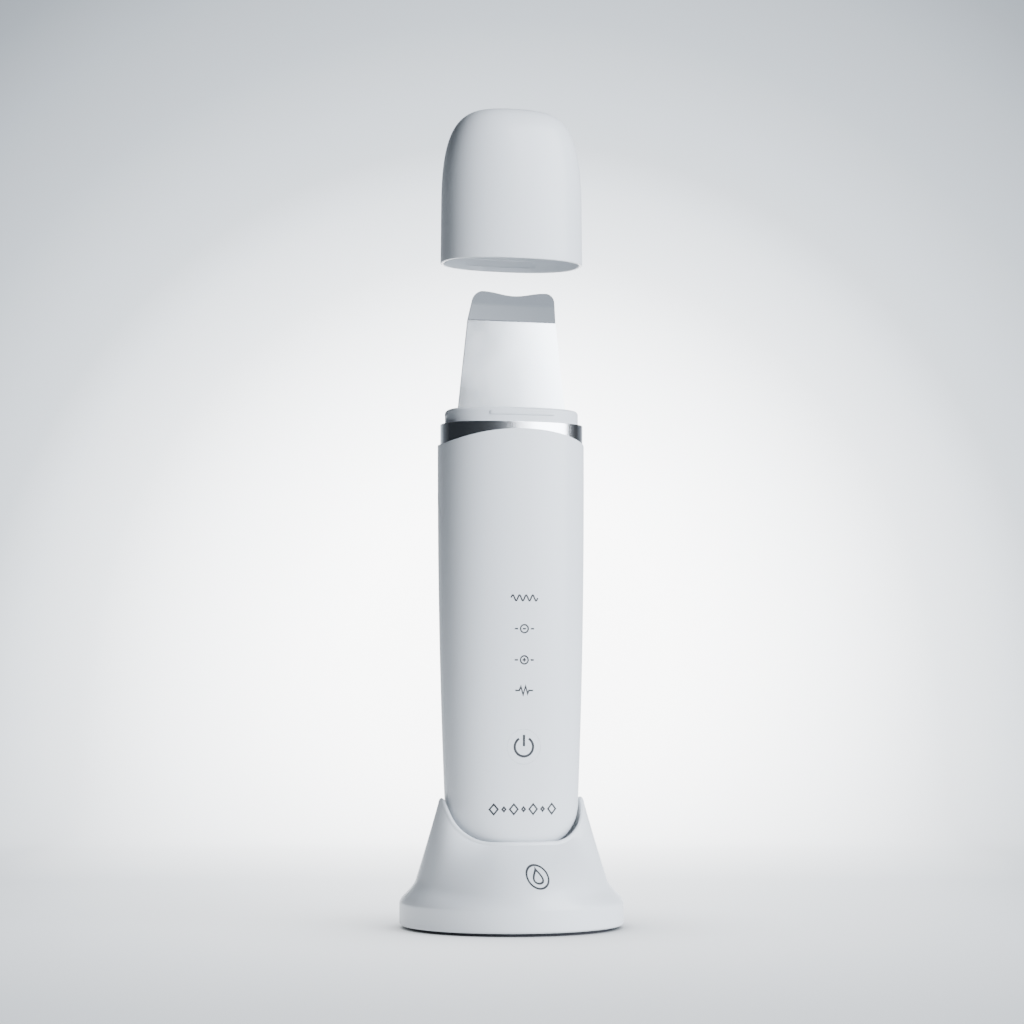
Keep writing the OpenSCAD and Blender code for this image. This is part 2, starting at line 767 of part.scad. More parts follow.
module stand_shell() {
    color("#eceeee") difference() {
        union() {
            stand_body();
            for (a = screw_angles) rotate([0, 0, a]) translate([screw_ring_r, 0, 3.2])
                cylinder(r = 2.4, h = 10.4, $fn = 48);
        }
        for (a = screw_angles) rotate([0, 0, a]) translate([screw_ring_r, 0, 3])
            cylinder(r = 1, h = 6, $fn = 32);
        for (x = [-pin_x, pin_x]) translate([x, 0, 17]) cylinder(r = 1.35, h = 6, $fn = 48);
        translate([0, 22, inlet_z]) rotate([-90, 0, 0]) linear_extrude(14) inlet_outline(4.6, 1.75);
    }
}

// Stadium outline of the inlet: half width w and half height h
module inlet_outline(w, h) {
    square([2 * (w - h), 2 * h], center = true);
    for (s = [-1, 1]) translate([s * (w - h), 0]) circle(r = h, $fn = 48);
}

module bottom_plate() {
    color("#d4d7d9") difference() {
        union() {
            translate([0, 0, 1.2]) cylinder(r = plate_r, h = 2, $fn = 128);
            for (x = [-8, 8]) translate([x, 0, 3]) cylinder(r = 1.9, h = 9.2, $fn = 48);
        }
        for (a = screw_angles) rotate([0, 0, a]) translate([screw_ring_r, 0, 0]) {
            cylinder(r = 1.1, h = 5, $fn = 32);
            cylinder(r = 2.2, h = 2.2, $fn = 32);
        }
        for (x = [-8, 8]) translate([x, 0, 7]) cylinder(r = 0.8, h = 6, $fn = 32);
    }
}

module foot_ring() {
    color("#34363a") difference() {
        cylinder(r = 22.5, h = 1.2, $fn = 128);
        translate([0, 0, -1]) cylinder(r = 17.5, h = 4, $fn = 128);
    }
    color("#34363a") difference() {
        cylinder(r = plate_r, h = 1.2, $fn = 128);
        translate([0, 0, -1]) cylinder(r = 29, h = 4, $fn = 128);
    }
}

module ballast_weight() {
    color("#8a8d92") difference() {
        translate([0, 0, 3.2]) cylinder(r = 22.6, h = 3.6, $fn = 128);
        translate([0, 0, 2]) cylinder(r = 11, h = 8, $fn = 96);
    }
}

module dock_board() {
    color("#1f6b45") difference() {
        union() {
            block([-11, -6, dock_z], [11, 8, dock_z + 1]);
            block([-5.5, 8, dock_z], [5.5, 24.5, dock_z + 1]);
        }
        for (x = [-8, 8]) translate([x, 0, dock_z - 1]) cylinder(r = 0.8, h = 3, $fn = 32);
    }
}

module dock_chip() {
    color("#26282b") {
        block([-1.6, 10, dock_z + 1], [1.6, 14, dock_z + 1.9]);
        for (s = [-1, 1], k = [0 : 3]) {
            low_x = s > 0 ? 1.6 : -2.3;
            block([low_x, 10.35 + k, dock_z + 1], [low_x + 0.7, 10.65 + k, dock_z + 1.3]);
        }
    }
}

module dock_screws() {
    color("#7b7e83") for (x = [-8, 8]) translate([x, 0, dock_z + 1])
        rotate([180, 0, 0]) screw_up(0.8, 5.6, 1.6, 0.9);
}

module usb_inlet() {
    y0 = 22.4;
    y1 = 30.2;
    color("#b7babd") translate([0, 0, inlet_z]) {
        translate([0, y0, 0]) rotate([-90, 0, 0]) difference() {
            linear_extrude(y1 - y0) inlet_outline(4.47, inlet_half_h);
            translate([0, 0, 1]) linear_extrude(y1 - y0) inlet_outline(4.17, 1.3);
        }
        block([-3.3, y0 + 0.5, -0.35], [3.3, y1 - 1, 0.35]);
    }
}

barrel_r = 1.3;
barrel_bottom_z = dock_z + 1;
barrel_top_z = floor_z;
pin_r = 0.75;
pin_top_z = contact_z - 0.06;
pin_collar_z = 18.2;

module pogo_barrels() {
    color("#d9b25a") for (x = [-pin_x, pin_x]) translate([x, 0, barrel_bottom_z]) difference() {
        cylinder(r = barrel_r, h = barrel_top_z - barrel_bottom_z, $fn = 48);
        translate([0, 0, 0.6]) cylinder(r = 1.05, h = pin_collar_z - barrel_bottom_z - 0.6 + 2 * EPS, $fn = 48);
        translate([0, 0, 0.6]) cylinder(r = pin_r + 0.06, h = 12, $fn = 48);
    }
}

module contact_pin(x) {
    color("#e0bd6a") translate([x, 0, 0]) {
        translate([0, 0, pin_collar_z]) cylinder(r = pin_r, h = pin_top_z - pin_collar_z - 0.4, $fn = 48);
        translate([0, 0, pin_top_z - 0.4]) cylinder(r1 = pin_r, r2 = pin_r - 0.35, h = 0.4, $fn = 48);
        translate([0, 0, pin_collar_z - 0.6]) cylinder(r = 0.98, h = 0.6, $fn = 48);
    }
}

module contact_pin_left() {
    contact_pin(-pin_x);
}

module contact_pin_right() {
    contact_pin(pin_x);
}

// A coil spring that fills the barrel below the pin
module pin_spring(x) {
    wire_d = 0.2;
    coil_r = 0.8;
    z0 = barrel_bottom_z + 0.6 + wire_d / 2;
    z1 = pin_collar_z - 0.6 - wire_d / 2;
    turns = 6;
    steps = turns * 10;
    color("#c8cbce") translate([x, 0, 0]) lead(
        [for (k = [0 : steps]) let (t = 360 * turns * k / steps)
            [coil_r * cos(t), coil_r * sin(t), mix(z0, z1, k / steps)]],
        wire_d, ref = [0, 0, 1], sides = 6);
}

module pin_spring_left() {
    pin_spring(-pin_x);
}

module pin_spring_right() {
    pin_spring(pin_x);
}

module base_screws() {
    color("#7b7e83") for (a = screw_angles) rotate([0, 0, a]) translate([screw_ring_r, 0, 2.2])
        screw_up(1, 6, 2, 0.9);
}

front_cover();
back_cover();
metal_band();
head_collar();
blade_seal();
blade();
transducer_horn();
blade_screws();
piezo_rings();
piezo_electrodes();
back_mass();
clamp_bolt();
transducer_mount();
main_board();
mode_leds();
light_guide();
tact_switch();
control_chip();
charge_chip();
driver_transistors();
drive_transformer();
filter_capacitor();
battery_socket();
battery();
inner_frame();
board_screws();
charge_contacts();
contact_leads();
battery_leads();
piezo_leads();
power_button();
switch_plunger();
cap();
stand_shell();
bottom_plate();
foot_ring();
ballast_weight();
dock_board();
dock_chip();
dock_screws();
usb_inlet();
pogo_barrels();
pin_spring_left();
pin_spring_right();
contact_pin_left();
contact_pin_right();
base_screws();
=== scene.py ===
"""Looks of the skin scrubber: smooth shells, marks, materials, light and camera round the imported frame.

Shapes are worked out in millimetres, in the frame's own axes (+Z up, front facing -Y), and turned
into metres where a mesh is made.
"""
import json
import math

import bmesh
import bpy
import numpy as np
from mathutils import Matrix, Vector


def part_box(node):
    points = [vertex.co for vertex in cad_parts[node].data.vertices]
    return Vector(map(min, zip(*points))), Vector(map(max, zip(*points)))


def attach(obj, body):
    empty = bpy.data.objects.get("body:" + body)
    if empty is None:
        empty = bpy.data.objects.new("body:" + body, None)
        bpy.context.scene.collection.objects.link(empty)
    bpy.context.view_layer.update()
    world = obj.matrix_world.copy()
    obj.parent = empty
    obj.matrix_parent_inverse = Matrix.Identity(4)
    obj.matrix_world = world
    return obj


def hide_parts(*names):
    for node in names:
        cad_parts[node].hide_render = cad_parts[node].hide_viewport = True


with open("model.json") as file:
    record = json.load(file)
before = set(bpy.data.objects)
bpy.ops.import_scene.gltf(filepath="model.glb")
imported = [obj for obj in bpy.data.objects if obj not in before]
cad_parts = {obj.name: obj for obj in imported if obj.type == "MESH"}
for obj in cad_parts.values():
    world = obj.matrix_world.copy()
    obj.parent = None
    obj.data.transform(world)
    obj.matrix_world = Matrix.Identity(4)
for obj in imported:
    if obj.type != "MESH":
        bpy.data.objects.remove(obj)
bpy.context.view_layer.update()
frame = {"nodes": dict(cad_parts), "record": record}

MM = 0.001
SIDES = 192  # points round an oval section


def box_mm(node):
    lo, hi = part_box(node)
    return lo / MM, hi / MM


# ---------- driving sizes, from the frame ----------

COVER_LO, COVER_HI = box_mm("front_cover")
BAND_LO, BAND_HI = box_mm("metal_band")
COLLAR_LO, COLLAR_HI = box_mm("head_collar")
CAP_LO, CAP_HI = box_mm("cap")
STAND_HI = box_mm("stand_shell")[1]
BUTTON_LO, BUTTON_HI = box_mm("power_button")

HANDSET_Z = COVER_LO.z
SHOULDER_W = COVER_HI.x
SHOULDER_D = -COVER_LO.y
ARCH_TOP_Z = COVER_HI.z
BAND_W = BAND_HI.x
BAND_D = BAND_HI.y
STAND_R = STAND_HI.x
BUTTON_Z = (BUTTON_LO.z + BUTTON_HI.z) / 2

# The rest are the shape's own rules, the same as the design's
SECTION_N = 2.4
TAPER_W, TAPER_D, TAPER_POWER = 2.8, 1.67, 2.2
SHOULDER_Z, TAPER_SPAN = 141.0, 119.0
END_R, END_DEPTH_R = 12.5, 4.0  # rounding of the bottom end, seen from the front and from the side
COVER_WALL = 1.8
ARCH_R = 61.0
LEAN = 1.0  # the covers' widest line lies this far behind the middle at the shoulder
SPLIT_Y, SPLIT_TOP_Z, SPLIT_R = -1.6, 130.0, 14.0
BUTTON_R, BUTTON_GAP = 5.0, 0.04
RIB_PROUD = 0.35
PIN_X = 4.0
CAP_H = CAP_HI.z - CAP_LO.z
CROWN_H, CAP_WALL, CAP_DRAFT = 30.0, 1.3, 0.018
MOUTH_W, MOUTH_D = BAND_W - 0.95, BAND_D - 0.45
RIM_H, LIP_Z, HORN_Z = 7.4, 25.3, 37.6
LIP_REACH, LIP_T, LIP_ROUND = 11.8, 1.2, 0.9
POCKET_GAP, POCKET_END_R = 0.8, 10.0
FLOOR_Z = HANDSET_Z - 0.3
FOOT_Z = 0.9
PLATE_R = 30.2
INLET_Z = 10.6


# ---------- mesh helpers ----------

def spow(v, p):
    return np.sign(v) * np.abs(v) ** p


def even_angles(count=SIDES):
    return np.arange(count) * 2 * np.pi / count


def oval(half_w, half_d, t, n=SECTION_N):
    return half_w * spow(np.cos(t), 2 / n), half_d * spow(np.sin(t), 2 / n)


def ring(half_w, half_d, z, t, n=SECTION_N):
    x, y = oval(half_w, half_d, t, n)
    return np.stack([x, y, np.broadcast_to(z, x.shape)], axis=1)


def new_object(name, mesh):
    obj = bpy.data.objects.new(name, mesh)
    bpy.context.scene.collection.objects.link(obj)
    return obj


def mesh_object(name, verts_mm, faces):
    mesh = bpy.data.meshes.new(name)
    mesh.from_pydata([tuple(v) for v in np.asarray(verts_mm) * MM], [], faces)
    bm = bmesh.new()
    bm.from_mesh(mesh)
    bmesh.ops.recalc_face_normals(bm, faces=bm.faces)
    bm.to_mesh(mesh)
    bm.free()
    mesh.update()
    return new_object(name, mesh)


def loft(name, rings, closed=False):
    """A closed solid through rings of points, capped at both ends or joined end to end."""
    count, sides = len(rings), len(rings[0])
    verts = np.concatenate(rings)
    faces = []
    for k in range(count if closed else count - 1):
        low, high = k * sides, (k + 1) % count * sides
        for i in range(sides):
            j = (i + 1) % sides
            faces.append((low + i, high + i, high + j, low + j))
    if not closed:
        faces.append(tuple(range(sides)))
        faces.append(tuple(range((count - 1) * sides, count * sides))[::-1])
    return mesh_object(name, verts, faces)


def apply_modifiers(obj):
    graph = bpy.context.evaluated_depsgraph_get()
    done = bpy.data.meshes.new_from_object(obj.evaluated_get(graph))
    obj.modifiers.clear()
    obj.data = done


def cut(obj, cutter, operation="DIFFERENCE"):
    """Boolean of obj with a cutter, which is used up."""
    mod = obj.modifiers.new("cut", "BOOLEAN")
    mod.operation, mod.object, mod.solver = operation, cutter, "EXACT"
    apply_modifiers(obj)
    bpy.data.objects.remove(cutter)


def smooth(obj, bevel=0.0, segments=2, sharp_deg=35):
    """Rounds the sharp edges a little and shades the rest smoothly."""
    for poly in obj.data.polygons:
        poly.use_smooth = True
    if bevel:
        mod = obj.modifiers.new("round", "BEVEL")
        mod.width, mod.segments, mod.limit_method = bevel * MM, segments, "ANGLE"
        mod.angle_limit = math.radians(sharp_deg)
        mod.harden_normals = False
    obj.data.set_sharp_from_angle(angle=math.radians(sharp_deg))
    mod = obj.modifiers.new("even", "WEIGHTED_NORMAL")
    mod.keep_sharp, mod.weight = True, 70
    apply_modifiers(obj)


def prism(name, outline, axis, start, end):
    """A closed prism: a 2D outline pushed along one axis from start to end."""
    order = {"X": (2, 0, 1), "Y": (0, 2, 1), "Z": (0, 1, 2)}[axis]
    sides = len(outline)
    verts = []
    for level in (start, end):
        for p in outline:
            flat = (p[0], p[1], level)
            verts.append([flat[order[0]], flat[order[1]], flat[order[2]]])
    faces = [tuple(range(sides)), tuple(range(sides, 2 * sides))]
    faces += [(i, (i + 1) % sides, sides + (i + 1) % sides, sides + i) for i in range(sides)]
    return mesh_object(name, verts, faces)


def circle_outline(cx, cy, r, count=96):
    t = even_angles(count)
    return list(zip(cx + r * np.cos(t), cy + r * np.sin(t)))


def stadium_outline(cx, cy, half_w, half_h, count=24):
    """Outline with round ends; half_w includes them."""
    a = np.linspace(-np.pi / 2, np.pi / 2, count)
    reach = half_w - half_h
    right = [(cx + reach + half_h * math.cos(k), cy + half_h * math.sin(k)) for k in a]
    left = [(cx - reach - half_h * math.cos(k), cy - half_h * math.sin(k)) for k in a]
    return right + left


def finish_piece(obj, body, slot, node=None, material=None):
    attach(obj, body)
    if node:
        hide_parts(node)
    obj.data.materials.clear()
    obj.data.materials.append(MATERIALS[material or slot])
    return obj


# ---------- handset shape ----------

def taper(z):
    return (np.maximum(0, SHOULDER_Z - z) / TAPER_SPAN) ** TAPER_POWER


def body_w(z):
    return SHOULDER_W - TAPER_W * taper(z)


def body_d(z):
    return SHOULDER_D - TAPER_D * taper(z)


def widest_y(z):
    """Y of the covers' widest line."""
    return LEAN * (z - HANDSET_Z) / (SHOULDER_Z - HANDSET_Z)


def section(half_w, half_d, y0, t):
    """An oval that is widest at y0 and reaches half_d to the front and to the back."""
    x, share = oval(half_w, 1.0, t)
    return x, y0 + share * np.where(share < 0, half_d + y0, half_d - y0)


def end_in(z, z0, r):
    """How far a rounded end that starts at z0 pulls in at height z."""
    below = np.maximum(0, z0 + r - z)
    return np.where(below > 0, r - np.sqrt(np.maximum(0, r * r - below ** 2)), 0)


def body_ring(z, t, wall=0.0):
    z0 = HANDSET_Z + wall
    pull_w = end_in(z, z0, END_R - wall)
    pull_d = end_in(z, z0, END_DEPTH_R - wall * 0.5)
    x, y = section(body_w(z) - wall - pull_w, body_d(z) - wall - pull_d, widest_y(z), t)
    return np.stack([x, y, np.broadcast_to(z, x.shape)], axis=1)


def arch_z(x):
    return ARCH_TOP_Z - ARCH_R + np.sqrt(ARCH_R ** 2 - x ** 2)


def cover_y(x, z):
    """Y of the handset's front at a place (x, z)."""
    y0 = widest_y(z)
    return y0 - (body_d(z) + y0) * (1 - (np.abs(x) / body_w(z)) ** SECTION_N) ** (1 / SECTION_N)


def seam_distance(y, z):
    """Distance, seen from the side, to the line where the two covers meet."""
    qy, qz = SPLIT_Y + SPLIT_R - y, z - (SPLIT_TOP_Z - SPLIT_R)
    corner = np.abs(np.hypot(np.maximum(qy, 0), np.maximum(qz, 0)) - SPLIT_R)
    straight = np.abs(np.maximum(qy, qz) - SPLIT_R)
    return np.where((qy > 0) & (qz > 0), corner, straight)


SEAM_ROUND, SEAM_REACH = 0.16, 0.45


def soften_seam(points):
    """Rolls the surface in a little towards the seam, as two moulded edges do."""
    near = np.clip(1 - seam_distance(points[:, 1], points[:, 2]) / SEAM_REACH, 0, 1)
    pull = SEAM_ROUND * near ** 2
    radius = np.hypot(points[:, 0], points[:, 1])
    out = points.copy()
    out[:, :2] *= (1 - pull / radius)[:, None]
    return out


def cover_angles():
    """Angles round the section, closely spaced beside the two seams."""
    share = np.arange(-0.24, -0.06, 0.006)
    flank = np.arcsin(spow(share, SECTION_N / 2))
    dense = np.concatenate([flank, np.pi - flank]) % (2 * np.pi)
    base = even_angles(SIDES)
    gap = np.abs((base[:, None] - dense[None, :] + np.pi) % (2 * np.pi) - np.pi).min(axis=1)
    return np.sort(np.concatenate([base[gap > 0.02], dense]))


def quarter(start, r, steps):
    return [start + r * (1 - math.cos(math.radians(90 * k / steps))) for k in range(steps + 1)]


COVER_T = cover_angles()


def outer_heights():
    seam = list(np.arange(SPLIT_TOP_Z - 0.6, SPLIT_TOP_Z + 0.61, 0.075))
    return (quarter(HANDSET_Z, END_R, 20) + list(np.arange(END_R + HANDSET_Z + 1.5, 120, 2.5))
            + list(np.arange(120.5, SPLIT_TOP_Z - 0.7, 0.5)) + seam)


def arched_row(share, start, wall_w=None, wall_d=None, drop=0.0, pull=0.0):
    """A row between height start and the arched edge; share 1 is the edge itself."""
    x, y = oval(wall_w or SHOULDER_W - pull, wall_d or SHOULDER_D - pull, COVER_T)
    z = start + (arch_z(x) - drop - start) * share
    if wall_w is None:
        x, y = section(body_w(z) - pull, body_d(z) - pull, widest_y(z), COVER_T)
    return np.stack([x, y, z], axis=1)


def covers_shell(name):
    """Both covers in one closed solid, with a rounded arched edge and a rebate for the band."""
    rows = [soften_seam(body_ring(z, COVER_T)) for z in outer_heights()]
    start = SPLIT_TOP_Z + 0.7
    edge = 0.22
    rows += [arched_row(k / 10, start, drop=edge) for k in range(11)]
    for k in range(1, 5):
        a = math.radians(90 * k / 4)
        rows.append(arched_row(1, start, drop=edge * (1 - math.sin(a)), pull=edge * (1 - math.cos(a))))
    in_w, in_d = BAND_W + 0.05, BAND_D + 0.05
    rows.append(arched_row(1, start, in_w, in_d))
    rows.append(ring(in_w, in_d, BAND_LO.z - 0.05, COVER_T))
    inner = [BAND_LO.z - 0.05] + list(np.arange(135, HANDSET_Z + END_R, -6))
    inner += quarter(HANDSET_Z + COVER_WALL, END_R - COVER_WALL, 8)[::-1]
    rows += [body_ring(z, COVER_T, COVER_WALL) for z in inner]
    return loft(name, rows)


def back_space(name, grow=0.0):
    a = np.linspace(np.pi / 2, np.pi, 40)
    r = SPLIT_R + grow
    corner = [(SPLIT_Y + SPLIT_R + r * math.cos(k), SPLIT_TOP_Z - SPLIT_R + r * math.sin(k)) for k in a]
    outline = [(SPLIT_Y - grow, 0), (40, 0), (40, SPLIT_TOP_Z + grow)] + corner
    return prism(name, outline, "X", -30, 30)


def make_covers():
    holes = [(x, 0, 1.75) for x in (-PIN_X, PIN_X)]
    made = []
    for name, node, operation, grow in (("front_cover_skin", "front_cover", "DIFFERENCE", 0.06),
                                        ("back_cover_skin", "back_cover", "INTERSECT", 0.0)):
        skin = covers_shell(name)
        cut(skin, back_space("space", grow), operation)
        for x, y, r in holes:
            cut(skin, prism("hole", circle_outline(x, y, r, 48), "Z", HANDSET_Z - 2, HANDSET_Z + 3))
        if node == "front_cover":
            outline = circle_outline(0, BUTTON_Z, BUTTON_R + BUTTON_GAP)
            cut(skin, prism("hole", outline, "Y", -20, -8))
        smooth(skin)
        made.append(finish_piece(skin, "handset", "cover_plastic", node))
    return made


def make_button():
    skin = loft("power_button_skin", [body_ring(z, even_angles()) for z in np.arange(42, 64, 1.0)])
    cut(skin, prism("disc", circle_outline(0, BUTTON_Z, BUTTON_R), "Y", -20, -10.4), "INTERSECT")
    flange = prism("flange", circle_outline(0, BUTTON_Z, 5.9), "Y", -10.8, -10.1)
    cut(skin, flange, "UNION")
    stem = prism("stem", circle_outline(0, BUTTON_Z, 1.4, 48), "Y", -10.2, BUTTON_HI.y)
    cut(skin, stem, "UNION")
    smooth(skin)
    return finish_piece(skin, "power_button", "button_plastic", "power_button")


# ---------- head ----------

def make_band():
    t = even_angles()
    edge = 0.18
    rows = []
    for k in range(5):
        a = math.radians(90 * k / 4)
        rows.append(ring(BAND_W - edge * (1 - math.cos(a)), BAND_D - edge * (1 - math.cos(a)),
                         BAND_HI.z - edge * (1 - math.sin(a)), t))
    inner_w, inner_d = BAND_W - 1.1, BAND_D - 1.1
    rows += [ring(inner_w, inner_d, BAND_HI.z, t), ring(inner_w, inner_d, BAND_LO.z, t),
             ring(BAND_W, BAND_D, BAND_LO.z, t), ring(BAND_W, BAND_D, BAND_LO.z + 3, t)]
    skin = loft("metal_band_skin", rows, closed=True)
    smooth(skin)
    return finish_piece(skin, "handset", "band_chrome", "metal_band")


def make_collar():
    t = even_angles()
    half_w, half_d = COLLAR_HI.x - RIB_PROUD, COLLAR_HI.y - RIB_PROUD
    top = COLLAR_HI.z
    skirt_w, skirt_d = BAND_W - 1.15, BAND_D - 1.15
    round_r = 1.1
    rows = [ring(skirt_w - 1.6, skirt_d - 1.6, top - 1.8, t),
            ring(skirt_w - 1.6, skirt_d - 1.6, COLLAR_LO.z, t),
            ring(skirt_w, skirt_d, COLLAR_LO.z, t), ring(skirt_w, skirt_d, BAND_HI.z, t),
            ring(half_w, half_d, BAND_HI.z + 0.02, t), ring(half_w, half_d, BAND_HI.z + 1, t)]
    for k in range(13):
        a = math.radians(90 * k / 12)
        pull = round_r * (1 - math.cos(a))
        rows.append(ring(half_w - pull, half_d - pull, top - round_r * (1 - math.sin(a)), t))
    skin = loft("head_collar_skin", rows)
    cut(skin, prism("slot", stadium_outline(0, 0, BLADE_ROOT_W / 2 + 1.2, 1.7), "Z", top - 3, top + 1))
    smooth(skin)
    finish_piece(skin, "handset", "collar_plastic", "head_collar")
    for name, sign in (("collar_rib_front", -1), ("collar_rib_back", 1)):
        make_rib(name, half_w, half_d, sign)
    for name, sign in (("collar_rib_left", -1), ("collar_rib_right", 1)):
        make_side_rib(name, half_w, half_d, sign)
    return skin


RIB_MID_Z, RIB_HALF_H = BAND_HI.z + 2.55, 0.65


def rib_profile(inner, proud, share):
    """A low round bar's outline as (outwards, height) points; share shrinks it towards its ends."""
    points = [(inner - 0.1 + (proud + 0.1) * share * math.sin(a) ** 0.7,
               RIB_MID_Z + RIB_HALF_H * share * math.cos(a))
              for a in np.linspace(0.0001, math.pi - 0.0001, 17)]
    return points + [(inner - 0.5, RIB_MID_Z - RIB_HALF_H * share),
                     (inner - 0.5, RIB_MID_Z + RIB_HALF_H * share)]


def end_share(place, half_len):
    past = max(0.0, (abs(place) - half_len + RIB_HALF_H) / RIB_HALF_H)
    return max(0.05, math.sqrt(max(0.0, 1 - past ** 2)))


def make_rib(name, half_w, half_d, sign):
    """A snap rib on the collar's front or back: it follows the oval and fades at its ends."""
    half_len = 10.0
    rings = []
    for x in half_len * np.sin(np.linspace(-np.pi / 2, np.pi / 2, 41)):
        y = half_d * (1 - (abs(x) / half_w) ** SECTION_N) ** (1 / SECTION_N)
        profile = rib_profile(y, RIB_PROUD, end_share(x, half_len))
        rings.append(np.array([(x, sign * out, z) for out, z in profile]))
    rib = loft(name, rings)
    smooth(rib)
    return finish_piece(rib, "handset", "collar_plastic")


def make_side_rib(name, half_w, half_d, sign):
    """A short snap rib on the collar's left or right."""
    half_len = 1.5
    rings = []
    for y in half_len * np.sin(np.linspace(-np.pi / 2, np.pi / 2, 25)):
        x = half_w * (1 - (abs(y) / half_d) ** SECTION_N) ** (1 / SECTION_N)
        profile = rib_profile(x, RIB_PROUD, end_share(y, half_len))
        rings.append(np.array([(sign * out, y, z) for out, z in profile]))
    rib = loft(name, rings)
    smooth(rib)
    return finish_piece(rib, "handset", "collar_plastic")


# ---------- blade ----------

BLADE_LO, BLADE_HI = box_mm("blade")
BLADE_ROOT_W = BLADE_HI.x - BLADE_LO.x
BLADE_T = 1.0
BLADE_BEND_W = 27.0
BEND_Z, BEND_DEG, BEND_R = 177.7, 19.0, 1.2
TIP_Z, TIP_HALF_W, TIP_CORNER_R, TIP_DIP = 186.2, 12.6, 3.0, 1.1


def blade_outline():
    """The blade seen from the front, counter-clockwise from the tang."""
    corner = TIP_HALF_W - TIP_CORNER_R
    right = [(7, BLADE_LO.z), (7, 134), (BLADE_ROOT_W / 2, 140), (BLADE_ROOT_W / 2, COLLAR_HI.z),
             (BLADE_BEND_W / 2, BEND_Z)]
    for k in range(17):
        a = math.radians(8 + 92 * k / 16)
        right.append((corner + TIP_CORNER_R * math.cos(a), TIP_Z - TIP_CORNER_R + TIP_CORNER_R * math.sin(a)))
    for k in range(1, 24):
        s = k / 24
        right.append((corner * (1 - s), TIP_Z - TIP_DIP * (1 - math.cos(math.pi * s)) / 2))
    left = [(-x, z) for x, z in right[::-1]]
    return right + [(0, TIP_Z - TIP_DIP)] + left


def bend_point(x, y, z):
    """Bends the flat blade's tip towards the front; z is height seen from the front."""
    if z <= BEND_Z:
        return x, y, z
    tilt = math.radians(BEND_DEG)
    centre_y = -BEND_R - BLADE_T / 2
    r = y - centre_y
    arc_top = BEND_Z + r * math.sin(tilt)
    if z < arc_top:
        a = math.asin((z - BEND_Z) / r)
        return x, centre_y + r * math.cos(a), z
    return x, centre_y + r * math.cos(tilt) - (z - arc_top) * math.tan(tilt), z


def make_blade():
    skin = prism("blade_skin", blade_outline(), "Y", -BLADE_T / 2, BLADE_T / 2)
    bm = bmesh.new()
    bm.from_mesh(skin.data)
    levels = list(np.linspace(BEND_Z, BEND_Z + 0.7, 7))
    levels += list(np.arange(152, 177, 2.0)) + list(np.arange(180, 186, 0.5))
    for z in levels:
        geom = bm.verts[:] + bm.edges[:] + bm.faces[:]
        bmesh.ops.bisect_plane(bm, geom=geom, plane_co=(0, 0, z * MM), plane_no=(0, 0, 1))
    for v in bm.verts:
        x, y, z = (c / MM for c in v.co)
        thin = 1 - 0.45 * min(1, max(0, (z - 182.5) / 4))
        v.co = Vector(bend_point(x, y * thin, z)) * MM
    bm.to_mesh(skin.data)
    bm.free()
    for x in (-4, 4):
        cut(skin, prism("hole", circle_outline(x, 127, 1, 32), "Y", -2, 2))
    smooth(skin, bevel=0.1, segments=2, sharp_deg=30)
    return finish_piece(skin, "handset", "blade_steel", "blade")


# ---------- cap ----------

def crown(d, h):
    return (1 - np.maximum(0, 1 - d / h) ** 2.7) ** (1 / 4.5)


def crown_depths(h):
    """Depths below the crown: even in width over the top, and even in angle down the side."""
    width = np.linspace(0.03, 0.8, 30)
    top = np.arcsin(width ** 2.25)
    side = np.linspace(top[-1], np.pi / 2, 40)[1:]
    phi = np.concatenate([top, side])
    return h * (1 - np.cos(phi) ** (2 / 2.7))


def cap_row(d, top, half_w, half_d, h, total, t):
    k = crown(d, h) * (1 - CAP_DRAFT * (1 - d / total))
    return ring(half_w * k, half_d * k, top - d, t)


def make_cap():
    t = even_angles()
    top, rim = CAP_HI.z, CAP_LO.z
    in_h, in_w, in_d = CROWN_H - CAP_WALL, BAND_W - CAP_WALL, BAND_D - CAP_WALL
    rows = [cap_row(d, top - CAP_WALL, in_w, in_d, in_h, CAP_H - CAP_WALL, t) for d in crown_depths(in_h)]
    rows += [ring(in_w, in_d, rim + 7, t), ring(MOUTH_W, MOUTH_D, rim + 6.2, t)]
    groove = 0.3
    g0, g1 = rim + 1.7, rim + 3.5
    for z, deep in ((g1 + 0.25, 0), (g1, groove), (g0, groove), (g0 - 0.25, 0)):
        rows.append(groove_row(z, deep, t))
    edge = 0.3
    for k in range(9):
        a = math.radians(-180 * k / 8)
        rows.append(ring((MOUTH_W + BAND_W) / 2 + (BAND_W - MOUTH_W) / 2 * -math.cos(a),
                         (MOUTH_D + BAND_D) / 2 + (BAND_D - MOUTH_D) / 2 * -math.cos(a),
                         rim + edge + edge * math.sin(a), t))
    rows += [ring(BAND_W * (1 - CAP_DRAFT * k / 47), BAND_D * (1 - CAP_DRAFT * k / 47), rim + k, t)
             for k in (4, 8, 12)]
    rows += [cap_row(d, top, BAND_W, BAND_D, CROWN_H, CAP_H, t) for d in crown_depths(CROWN_H)[::-1]]
    skin = loft("cap_skin", rows)
    smooth(skin)
    return finish_piece(skin, "cap", "cap_plastic", "cap")


def groove_row(z, deep, t):
    """Inside of the cap's mouth, let out by deep where the collar's ribs snap in."""
    row = ring(MOUTH_W, MOUTH_D, z, t)
    x, y = row[:, 0], row[:, 1]
    long_side = np.clip((10.6 - np.abs(x)) / 0.4, 0, 1)
    short_side = np.clip((2.1 - np.abs(y)) / 0.4, 0, 1)
    out = 1 + deep * np.maximum(long_side, short_side) / np.hypot(x, y)
    row[:, :2] *= out[:, None]
    return row


# ---------- stand ----------

